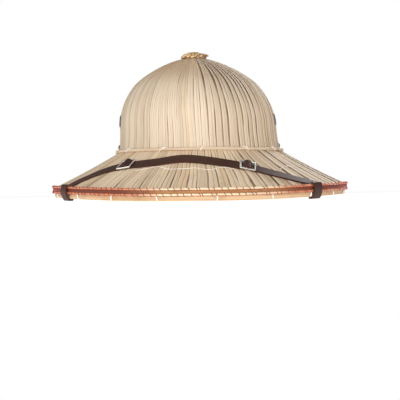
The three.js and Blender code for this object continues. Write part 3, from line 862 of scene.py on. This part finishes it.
def ring_stitch_runs():
    chance = random.Random(5)
    reach = RING_RADIUS + RING_STITCH_RADIUS * RING_STITCH_PROUD
    runs = []
    for angle in repeated_angles(RING_STITCH_ANGLES, RING_STITCH_STEP, chance):
        slant = math.radians(chance.choice(RING_STITCH_SLANTS) * chance.choice([-1, 1, 1]))
        last = len(RING_STITCH_DIRECTIONS) - 1
        rows = []
        for at, direction in enumerate(RING_STITCH_DIRECTIONS):
            out, up = polar(reach, direction)
            turned = angle + slant * (at / last - 0.5)
            rows.append(oval_point(RING_HALF_WIDTH + out, turned, RING_HEIGHT + up))
        runs.append(rows)
    return runs


def brim_thread_runs():
    """A running thread that lies on top of the leaves in some stretches and hides in others."""
    runs = []
    for start, end in BRIM_THREAD_SPANS:
        run = []
        steps = round((end - start) / BRIM_THREAD_STEP)
        for step in range(steps + 1):
            angle = math.radians(lerp(start, end, step / steps))
            turn = Vector((math.sin(angle), math.cos(angle), 4.0)) * 7.0
            share = BRIM_THREAD_SHARE + BRIM_THREAD_WAVE * noise.noise(turn)
            dip = BRIM_THREAD_DIP if step in (0, steps) else 0.0
            run.append(brim_point(angle, share, BRIM_THREAD_HEIGHT - dip))
        runs.append(run)
    return runs


def outer_straw(step, lobe):
    """Radius and height of the outer coil, which slopes down outwards."""
    loose = 1 + STRAW_LOOSENESS * noise.noise(Vector((step * 0.35, 2.0, 5.0)))
    radius = BUTTON_RADIUS + BUTTON_REACH * loose * math.cos(lobe)
    return radius, BUTTON_RISE * loose * math.sin(lobe) - BUTTON_SLOPE * (radius - BUTTON_RADIUS)


def inner_straw(step, lobe):
    return INNER_RADIUS + INNER_REACH * math.cos(lobe), INNER_HEIGHT + INNER_RISE * math.sin(lobe)


def coil_run(coil, straw):
    """One straw wound in and out round the tip so that it crosses itself."""
    centre = Vector((CROWN_LEAN, 0, BUTTON_HEIGHT))
    run = []
    for step in range(coil["steps"]):
        turn = 2 * math.pi * step / coil["steps"]
        radius, height = straw(step, coil["lobes"] * turn)
        wound = coil["turns"] * turn
        run.append(centre + Vector((radius * math.sin(wound), -radius * math.cos(wound), height)))
    return run


def button_runs():
    return [coil_run(OUTER_COIL, outer_straw), coil_run(INNER_COIL, inner_straw)]


def tail_runs():
    """The straws' cut ends, out to one side."""
    chance = random.Random(9)
    centre = Vector((CROWN_LEAN, 0, BUTTON_HEIGHT))
    runs = []
    for index in range(TAIL_STRAWS):
        aside = (index - (TAIL_STRAWS - 1) / 2) * TAIL_SPACING - TAIL_ASIDE
        reach = chance.uniform(*TAIL_REACHES_IN_MM) * MM
        rows = TAIL_ROOTS + [(reach * share, up) for share, up in TAIL_DROPS]
        runs.append([centre + Vector((out, aside * (1 + out * TAIL_FAN), up)) for out, up in rows])
    return runs


# Shader helpers
def feed(tree, socket, value):
    """A constant goes on the socket itself, another node's output is linked to it."""
    if isinstance(value, bpy.types.NodeSocket):
        tree.links.new(value, socket)
    else:
        socket.default_value = value


class Shader:
    """A short way to add nodes to a tree: inputs are given by name, as values or as sockets."""

    def __init__(self, tree, material=None):
        self.tree = tree
        self.material = material

    def finish(self, **values):
        """Feeds the inputs of the material's surface by name, and gives the material."""
        body = self.tree.nodes["Principled BSDF"]
        for key, value in values.items():
            feed(self.tree, body.inputs[key.replace("_", " ")], value)
        return self.material

    def add(self, kind, inputs=None, **settings):
        node = self.tree.nodes.new(kind)
        for key, value in settings.items():
            setattr(node, key, value)
        for key, value in (inputs or {}).items():
            feed(self.tree, node.inputs[key], value)
        return node

    def math(self, operation, first, second=0.5):
        return self.add("ShaderNodeMath", {0: first, 1: second}, operation=operation).outputs[0]

    def times(self, first, second):
        return self.math("MULTIPLY", first, second)

    def away(self, value, middle):
        return self.math("ABSOLUTE", self.math("SUBTRACT", value, middle))

    def mix(self, factor, first, second, blend="MIX"):
        node = self.add("ShaderNodeMix", data_type="RGBA", blend_type=blend)
        for index, value in ((0, factor), (6, first), (7, second)):
            feed(self.tree, node.inputs[index], value)
        return node.outputs[2]

    def span(self, value, low, high, to_low=0.0, to_high=1.0):
        inputs = {
            "Value": value, "From Min": low, "From Max": high, "To Min": to_low, "To Max": to_high,
        }
        return self.add("ShaderNodeMapRange", inputs, interpolation_type="SMOOTHSTEP").outputs[0]

    def ramp(self, value, stops):
        node = self.add("ShaderNodeValToRGB", {"Fac": value})
        elements = node.color_ramp.elements
        while len(elements) < len(stops):
            elements.new(0.5)
        for element, (position, colour) in zip(elements, stops):
            element.position = position
            element.color = colour
        return node.outputs["Color"]

    def noise(self, vector, scale, detail=2.0, roughness=0.5):
        inputs = {"Vector": vector, "Scale": scale, "Detail": detail, "Roughness": roughness}
        return self.add("ShaderNodeTexNoise", inputs).outputs["Fac"]

    def stretched(self, vector, scale):
        return self.add("ShaderNodeVectorMath", {0: vector, 1: scale}, operation="MULTIPLY").outputs[0]

    def attribute(self, name):
        return self.add("ShaderNodeAttribute", attribute_name=name).outputs["Vector"]

    def parts(self, vector):
        return self.add("ShaderNodeSeparateXYZ", {0: vector}).outputs

    def spot(self):
        return self.add("ShaderNodeTexCoord").outputs["Object"]

    def group(self, tree, **inputs):
        return self.add("ShaderNodeGroup", inputs, node_tree=tree).outputs

    def fibres(self, tree):
        return self.group(tree, Place=self.attribute("grain_place"))


def new_material(name):
    material = bpy.data.materials.new(name)
    material.use_nodes = True
    return Shader(material.node_tree, material)


def new_group(name, source, *results):
    """A shader group that takes one vector and puts out values; also gives that vector's socket."""
    tree = bpy.data.node_groups.new(name, "ShaderNodeTree")
    tree.interface.new_socket(source, in_out="INPUT", socket_type="NodeSocketVector")
    for result in results:
        tree.interface.new_socket(result, in_out="OUTPUT", socket_type="NodeSocketFloat")
    shader = Shader(tree)
    return shader, shader.add("NodeGroupInput").outputs[source]


def fibre_group():
    """Shared lengthwise fibres: a broad streak, a fine streak and a height for the bump."""
    shader, source = new_group("fibre_marks", "Place", "Broad", "Fine", "Height")
    broad = shader.noise(shader.stretched(source, (420, 9, 1)), 1.0, 2.0, 0.55)
    fine = shader.noise(shader.stretched(source, (1300, 14, 1)), 1.0, 3.0, 0.6)
    height = shader.math("ADD", shader.times(broad, 0.6), shader.times(fine, 0.4))
    shader.add("NodeGroupOutput", {"Broad": broad, "Fine": fine, "Height": height})
    return shader.tree


def wear_and_highlight_group():
    """Shared marks of the rim: wear and painted highlight along the front's middle, and the two ends,
    where the red is painted deeper as no highlight falls there.
    """
    shader, source = new_group("front_wear_and_highlight", "Spot", "WearAndHighlight", "Ends")
    side, depth, _ = shader.parts(source)
    near_middle = shader.span(shader.away(side, WEAR_AND_HIGHLIGHT_CENTRE), WEAR_AND_HIGHLIGHT_REACH, WEAR_AND_HIGHLIGHT_FULL)
    wear_and_highlight = shader.times(near_middle, shader.span(depth, 0.0, WEAR_AND_HIGHLIGHT_DEPTH))
    ends = shader.span(shader.math("ABSOLUTE", side), ENDS_FROM, ENDS_FULL)
    shader.add("NodeGroupOutput", {"WearAndHighlight": wear_and_highlight, "Ends": ends})
    return shader.tree


def bump(shader, height, strength, distance):
    inputs = {"Height": height, "Strength": strength, "Distance": distance}
    return shader.add("ShaderNodeBump", inputs).outputs["Normal"]


def leaf_material(name, fibres, tones, mark_and_shade_colour, side_shade_share, top_share, rim_share):
    """Dried palm leaf: a tone to each strip, lengthwise fibres, weathered patches, a rim stain, and
    painted light: a dark shadow line beside each raised edge with a highlight along it, a shaded fold
    down each strip, and shade towards the sides and the top.
    """
    shader = new_material(name)
    place = shader.attribute("grain_place")
    along, seed = shader.parts(place)[1:]
    tone, edge, proud = shader.parts(shader.attribute("grain_look"))
    marks = shader.group(fibres, Place=place)
    colour = shader.ramp(tone, tones)
    colour = shader.mix(shader.span(marks["Broad"], 0.45, 0.75, 0, 0.5), colour, tones[0][1])
    colour = shader.mix(shader.span(marks["Fine"], 0.55, 0.8, 0, 0.4), colour, mark_and_shade_colour)
    colour = shader.mix(shader.span(marks["Fine"], 0.5, 0.25, 0, 0.5), colour, PALE_FIBRE)
    spot = shader.spot()
    side, _, height = shader.parts(spot)
    # Painted shade: grey on the left, warm and darker on the right, and darker towards the crown's
    # top, as the light falls
    left = shader.span(side, *LEFT_SIDE, 0, side_shade_share)
    right = shader.span(side, *RIGHT_SIDE, 0, side_shade_share)
    colour = shader.mix(left, colour, LEFT_SHADE, "MULTIPLY")
    colour = shader.mix(right, colour, RIGHT_SHADE, "MULTIPLY")
    top = shader.span(height, *CROWN_TOP, 0, top_share)
    colour = shader.mix(top, colour, TOP_SHADE, "MULTIPLY")
    dirt = shader.noise(shader.stretched(spot, (46, 46, 14)), 1.0, 4.0, 0.65)
    colour = shader.mix(shader.span(dirt, 0.52, 0.8, 0, 0.22), colour, mark_and_shade_colour)
    # Painted shade of a fold: a thin dark line partway across each strip
    fold_line = shader.span(shader.away(proud, 0.6), 0.06, 0.0, 0, 0.5)
    fold_shade = shader.times(fold_line, shader.span(edge, 0.5, 0.62))
    colour = shader.mix(fold_shade, colour, mark_and_shade_colour)
    # Painted light and shade where strips stand apart: on the brim's far right and on creased strips
    # near the tip, the shadow line is wider and darker
    far_right = shader.span(side, *FAR_RIGHT, 0, rim_share)
    near_tip = shader.span(along, *FAN_ALONG, 0, 0.9 * top_share)
    fan = shader.times(near_tip, shader.span(seed, SEED_SPREAD, CREASED_SEED))
    # Painted highlight along each strip's raised edge, wider on the brim's far right
    raised = shader.math("ADD", proud, shader.times(far_right, 0.2))
    edge_highlight = shader.times(shader.span(raised, 0.88, 0.97, 0, 0.8), edge)
    colour = shader.mix(edge_highlight, colour, EDGE_HIGHLIGHT)
    at_tip = shader.span(along, *TIP_ALONG, 0.16, 0.34)
    wider = shader.math("ADD", shader.times(fan, at_tip), shader.times(far_right, 0.13))
    patches = shader.noise(shader.stretched(place, (40, 26, 1)), 1.0)
    fading = shader.span(patches, 0.35, 0.6, 0.5, 1.0)
    # Painted shadow: a dark line on each strip where it runs under its neighbour's raised edge
    shade = shader.span(shader.math("SUBTRACT", proud, wider), 0.31, 0.215)
    strength = shader.times(shader.span(edge, 0.45, 0.85, 0.65, 1.0), fading)
    line = shader.times(shade, shader.math("MAXIMUM", strength, fan))
    darker = shader.math("MAXIMUM", fan, far_right)
    colour = shader.mix(line, colour, shader.mix(darker, mark_and_shade_colour, CREASE_SHADE))
    rim = shader.span(along, *STAIN_ALONG, 0, rim_share)
    colour = shader.mix(rim, colour, RIM_STAIN)
    normal = bump(shader, marks["Height"], 0.5, 0.0004)
    return shader.finish(Base_Color=colour, Roughness=0.62, Specular_IOR_Level=0.35, Normal=normal)


def shade_sheet_material():
    # Painted shade: the dark brown of the shadow in a gap between strips
    shader = new_material("leaf_shade_sheet")
    return shader.finish(Base_Color=srgb(104, 66, 34), Roughness=0.9, Specular_IOR_Level=0.1)


def cane_material(name, fibres, colour, streak_colour, roughness, coat):
    shader = new_material(name)
    marks = shader.fibres(fibres)
    blotch = shader.noise(shader.spot(), 45.0, 3.0, 0.6)
    mixed = shader.mix(shader.span(marks["Broad"], 0.4, 0.7, 0, 0.7), colour, streak_colour)
    mixed = shader.mix(shader.span(blotch, 0.5, 0.7, 0, 0.5), mixed, streak_colour)
    normal = bump(shader, marks["Height"], 0.3, 0.0003)
    return shader.finish(
        Base_Color=mixed, Roughness=roughness, Coat_Weight=coat, Coat_Roughness=0.2, Normal=normal,
    )


def lacquer_material(wear_and_highlight):
    """Red lacquer on cane, paler on top and most of all along the front: partly lacquer rubbed through
    to pale cane, partly painted highlight.
    """
    shader = new_material("red_cane")
    spot = shader.spot()
    marks = shader.group(wear_and_highlight, Spot=spot)
    above = shader.parts(shader.attribute("grain_look"))[2]
    patches = shader.noise(shader.stretched(spot, (90, 90, 200)), 1.0, 3.0, 0.6)
    patches = shader.span(patches, 0.3, 0.6, 0.7, 1.0)
    # Pale only on the top of each cane: partly rubbed lacquer, partly painted highlight
    top_wear_and_highlight = shader.span(above, -0.0012, -0.0004, 0.0, 0.95)
    rubbed = shader.times(patches, shader.span(marks["WearAndHighlight"], 0.0, 1.0, 0.3, 1.0))
    tone = shader.noise(spot, 140.0, 2.0)
    red = shader.mix(shader.span(tone, 0.35, 0.65), srgb(150, 58, 28), srgb(196, 92, 50))
    # Painted deeper red at the two ends of the rim, where no highlight falls
    red = shader.mix(marks["Ends"], red, srgb(190, 58, 48))
    # The pale colour is partly bare cane, partly painted highlight, palest along the front
    bare_and_highlight = shader.mix(marks["WearAndHighlight"], srgb(236, 188, 140), srgb(250, 226, 188))
    colour = shader.mix(shader.times(rubbed, top_wear_and_highlight), red, bare_and_highlight)
    return shader.finish(Base_Color=colour, Roughness=0.38, Coat_Weight=0.5, Coat_Roughness=0.2)


def binding_material(fibres, wear_and_highlight):
    """The leaf edge between the rim canes: stained red-brown, paler tan along the front, partly worn
    and partly painted highlight.
    """
    shader = new_material("stained_leaf")
    spot = shader.spot()
    rim = shader.group(wear_and_highlight, Spot=spot)
    marks = shader.fibres(fibres)
    patches = shader.noise(spot, 60.0, 3.0, 0.6)
    # Paler tan along the front: partly wear, partly painted highlight; deeper red at the ends, where
    # no highlight falls
    share = shader.times(rim["WearAndHighlight"], shader.span(patches, 0.3, 0.55, 0.55, 1.0))
    colour = shader.mix(share, srgb(108, 42, 18), srgb(170, 116, 66))
    colour = shader.mix(rim["Ends"], colour, srgb(150, 44, 34))
    streaks = shader.span(marks["Broad"], 0.45, 0.7, 0, 0.6)
    colour = shader.mix(streaks, colour, srgb(92, 46, 24))
    normal = bump(shader, marks["Height"], 0.3, 0.0003)
    return shader.finish(Base_Color=colour, Roughness=0.55, Normal=normal)


def lashing_material(wear_and_highlight):
    """The cord round the rim canes: red at the sides, browner along the front, partly faded and partly
    painted highlight.
    """
    shader = new_material("red_thread")
    spot = shader.spot()
    worn = shader.group(wear_and_highlight, Spot=spot)["WearAndHighlight"]
    tone = shader.noise(spot, 300.0, 2.0)
    red_at_sides = shader.mix(shader.span(tone, 0.4, 0.75), srgb(178, 72, 40), srgb(130, 48, 24))
    # Browner along the front: partly wear, partly painted highlight
    colour = shader.mix(worn, red_at_sides, srgb(116, 76, 44))
    return shader.finish(Base_Color=colour, Roughness=0.8)


def thread_material(name, colour, dark):
    shader = new_material(name)
    spot = shader.spot()
    tone = shader.noise(spot, 300.0, 2.0)
    mixed = shader.mix(shader.span(tone, 0.4, 0.75), colour, dark)
    return shader.finish(Base_Color=mixed, Roughness=0.8)


def straw_material():
    shader = new_material("straw")
    spot = shader.spot()
    streak = shader.noise(shader.stretched(spot, (330, 330, 520)), 1.0, 3.0)
    colour = shader.mix(shader.span(streak, 0.38, 0.64), srgb(240, 208, 158), srgb(132, 88, 46))
    return shader.finish(Base_Color=colour, Roughness=0.55)


def leather_material():
    """Dark strap leather: pebbled grain, rubbed edges, paler scuffs."""
    shader = new_material("strap_leather")
    spot = shader.spot()
    place = shader.attribute("grain_place")
    across = shader.parts(shader.attribute("grain_look"))[2]
    pebbles = shader.noise(spot, 900.0, 3.0, 0.6)
    streak = shader.noise(shader.stretched(place, (900, 60, 1)), 1.0, 3.0)
    scuff = shader.noise(spot, 40.0, 4.0, 0.6)
    colour = shader.mix(shader.span(streak, 0.35, 0.7), srgb(50, 22, 14), srgb(72, 36, 24))
    colour = shader.mix(shader.span(scuff, 0.56, 0.78, 0, 0.25), colour, srgb(100, 74, 64))
    rubbed = shader.span(shader.away(across, 0.5), 0.44, 0.5, 0, 0.2)
    colour = shader.mix(rubbed, colour, srgb(100, 66, 46))
    normal = bump(shader, pebbles, 0.35, 0.0003)
    return shader.finish(Base_Color=colour, Roughness=0.5, Specular_IOR_Level=0.35, Normal=normal)


def metal_material(name, colour, roughness):
    shader = new_material(name)
    spot = shader.spot()
    worn = shader.noise(spot, 160.0, 4.0, 0.6)
    rough = shader.span(worn, 0.3, 0.8, roughness * 0.7, roughness * 1.5)
    return shader.finish(Base_Color=colour, Metallic=1.0, Roughness=rough)


# The hat
fibres = fibre_group()
front_wear_and_highlight = wear_and_highlight_group()
crown_leaf = leaf_material("crown_leaf", fibres, CROWN_TONES, CROWN_MARK_AND_SHADE, 0.5, 1.0, 0.0)
brim_leaf = leaf_material("brim_leaf", fibres, BRIM_TONES, BRIM_MARK_AND_SHADE, 0.12, 0.0, 1.0)
shade_sheet = shade_sheet_material()
pale_cane = cane_material("pale_cane", fibres, srgb(226, 206, 180), srgb(186, 150, 110), 0.6, 0.0)
bamboo = cane_material("bamboo", fibres, srgb(216, 184, 144), srgb(176, 132, 86), 0.5, 0.1)
red_cane = lacquer_material(front_wear_and_highlight)
stained_leaf = binding_material(fibres, front_wear_and_highlight)
white_thread = thread_material("white_thread", srgb(252, 248, 240), srgb(222, 210, 190))
red_thread = lashing_material(front_wear_and_highlight)
straw = straw_material()
leather = leather_material()
bright_metal = metal_material("bright_metal", srgb(244, 244, 240), 0.25)
dull_metal = metal_material("dull_metal", srgb(136, 132, 126), 0.45)
dark_metal = metal_material("dark_metal", srgb(70, 60, 54), 0.45)

add_piece(
    "crown_leaves", leaf_mesh("crown_leaves", crown_point, CROWN_STRIPS, CROWN_LINING, 3),
    [crown_leaf, shade_sheet], "palm_leaf", "crown",
)
add_piece(
    "brim_leaves", leaf_mesh("brim_leaves", brim_point, BRIM_STRIPS, BRIM_LINING, 8),
    [brim_leaf, shade_sheet], "palm_leaf", "brim",
)
ring_outline = round_outline(RING_RADIUS)
cane_outline = round_outline(CANE_RADIUS)
hoop_outline = band_outline(HOOP_THICKNESS, HOOP_HEIGHT, HOOP_CORNER)
binding_outline = band_outline(BINDING_THICKNESS, BINDING_HEIGHT, BINDING_CORNER)
ring = ring_mesh("ring", RING_HALF_WIDTH, RING_HEIGHT, ring_outline, False, 0.3 * MM, CANE_SWELL, 2.0)
add_piece("crown_ring_cane", ring, [pale_cane], "pale_cane", "crown_ring")
hoop_middle = HOOP_OUTER - HOOP_THICKNESS / 2
hoop = ring_mesh("hoop", hoop_middle, HOOP_HEIGHT / 2, hoop_outline, True, 0.0, 0.0, 5.0)
add_piece("rim_hoop_bamboo", hoop, [bamboo], "bamboo", "rim_hoop")
upper = ring_mesh("upper", *UPPER_CANE, cane_outline, True, 0.25 * MM, CANE_SWELL, 11.0)
add_piece("rim_upper_cane", upper, [red_cane], "red_cane", "rim_cane_upper")
lower = ring_mesh("lower", *LOWER_CANE, cane_outline, True, 0.2 * MM, CANE_SWELL, 17.0)
add_piece("rim_lower_cane", lower, [red_cane], "red_cane", "rim_cane_lower")
add_cords("button_straws", button_runs(), STRAW_RADIUS, straw, "straw", True, "top_button")
add_cords("button_tail", tail_runs(), STRAW_RADIUS * TAIL_RADIUS_SHARE, straw, "straw")
add_piece("strap", strap_mesh("strap"), [leather], "strap_leather", "chin_strap")
for side, row in BUCKLE_ROWS.items():
    slide = buckle_mesh(f"slide_{side}", row)
    add_piece(f"slide_{side}", slide, [bright_metal], "bright_metal", f"buckle_{side}")
for side, sign in (("left", -1), ("right", 1)):
    vent = fitting_mesh(f"eyelet_{side}", VENT_PROFILE, sign * VENT_ANGLE, VENT_SHARE, True)
    add_piece(f"eyelet_{side}", vent, [dull_metal], "dull_metal", f"vent_{side}")
    stud = fitting_mesh(f"rivet_{side}", STUD_PROFILE, sign * STUD_ANGLE, STUD_SHARE, False)
    add_piece(f"rivet_{side}", stud, [dark_metal], "dark_metal", f"strap_stud_{side}")
binding = ring_mesh("binding", *RIM_BINDING, binding_outline, True, 0.2 * MM, CANE_SWELL, 23.0)
add_piece("rim_binding", binding, [stained_leaf], "palm_leaf")
add_cords("rim_lashing", lashing_runs(), LASHING_RADIUS, red_thread, "thread")
add_cords("hoop_stitches", hoop_stitch_runs(), HOOP_STITCH_RADIUS, white_thread, "thread")
add_cords("ring_stitches", ring_stitch_runs(), RING_STITCH_RADIUS, white_thread, "thread")
add_cords("brim_thread", brim_thread_runs(), BRIM_THREAD_RADIUS, white_thread, "thread")


# Floor, light and camera
def add_floor():
    bm = bmesh.new()
    bmesh.ops.create_grid(bm, x_segments=1, y_segments=1, size=FLOOR_SIZE)
    mesh = bpy.data.meshes.new("floor")
    bm.to_mesh(mesh)
    bm.free()
    floor = bpy.data.objects.new("floor", mesh)
    mesh.materials.append(new_material("floor").finish(
        Base_Color=srgb(225, 225, 225), Roughness=0.9, Specular_IOR_Level=0.1, Emission_Color=WHITE,
        Emission_Strength=FLOOR_GLOW,
    ))
    bpy.context.scene.collection.objects.link(floor)


def add_light(name, place, watts):
    data = bpy.data.lights.new(name, "AREA")
    data.shape = "DISK"
    data.size = LIGHT_SIZE
    data.energy = watts
    light = bpy.data.objects.new(name, data)
    light.location = place
    aim = Vector(LIGHT_TARGET) - Vector(place)
    light.rotation_euler = aim.to_track_quat("-Z", "Y").to_euler()
    bpy.context.scene.collection.objects.link(light)


def add_world():
    """White behind the hat for the camera, softer light from all round for everything else."""
    world = bpy.data.worlds.new("studio")
    world.use_nodes = True
    bpy.context.scene.world = world
    shader = Shader(world.node_tree)
    path = shader.add("ShaderNodeLightPath").outputs["Is Camera Ray"]
    strength = shader.span(path, 0.0, 1.0, LIGHT_ALL_ROUND, 1.0)
    background = world.node_tree.nodes["Background"]
    background.inputs["Color"].default_value = WHITE
    world.node_tree.links.new(strength, background.inputs["Strength"])


def add_camera():
    data = bpy.data.cameras.new("camera")
    data.sensor_width = SENSOR_WIDTH
    data.lens = FOCAL_PIXELS / PICTURE_SIZE * SENSOR_WIDTH
    data.clip_end = CAMERA_SEES
    camera = bpy.data.objects.new("camera", data)
    camera.location = (0, -CAMERA_DISTANCE, CAMERA_HEIGHT)
    camera.rotation_euler = (math.pi / 2 - CAMERA_PITCH, CAMERA_ROLL, 0)
    bpy.context.scene.collection.objects.link(camera)
    bpy.context.scene.camera = camera


add_floor()
add_world()
for light_name, (light_place, light_watts) in LIGHTS.items():
    add_light(light_name, light_place, light_watts)
add_camera()
bpy.context.scene.view_settings.view_transform = "Standard"
